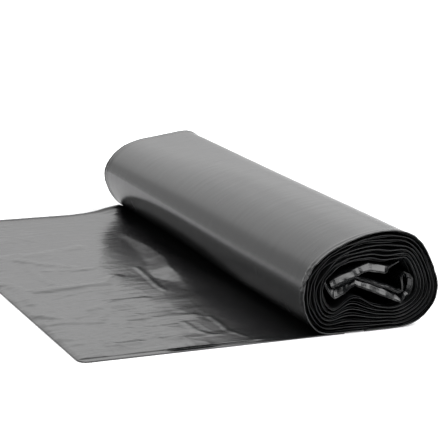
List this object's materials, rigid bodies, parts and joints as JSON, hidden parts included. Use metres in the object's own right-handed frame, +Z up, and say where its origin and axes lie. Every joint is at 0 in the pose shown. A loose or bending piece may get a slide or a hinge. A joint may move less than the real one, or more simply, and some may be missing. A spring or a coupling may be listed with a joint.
{
  "type": "bin bag roll",
  "caption": "Coreless roll of folded bin bags with a crushed middle, the start of the web unrolled flat beside it.",
  "frame": {"origin": "middle of the footprint on the floor, under the roll's left part", "axes": "+X from the end of the unrolled start towards the roll, +Y along the roll away from its near end, +Z up"},
  "size_m": [0.3281, 0.457, 0.086],
  "materials": {
    "film": "thin polyethylene film, satin gloss with fine creases"
  },
  "bodies": {
    "root": {"bag_roll": "film"}
  },
  "joints": []
}
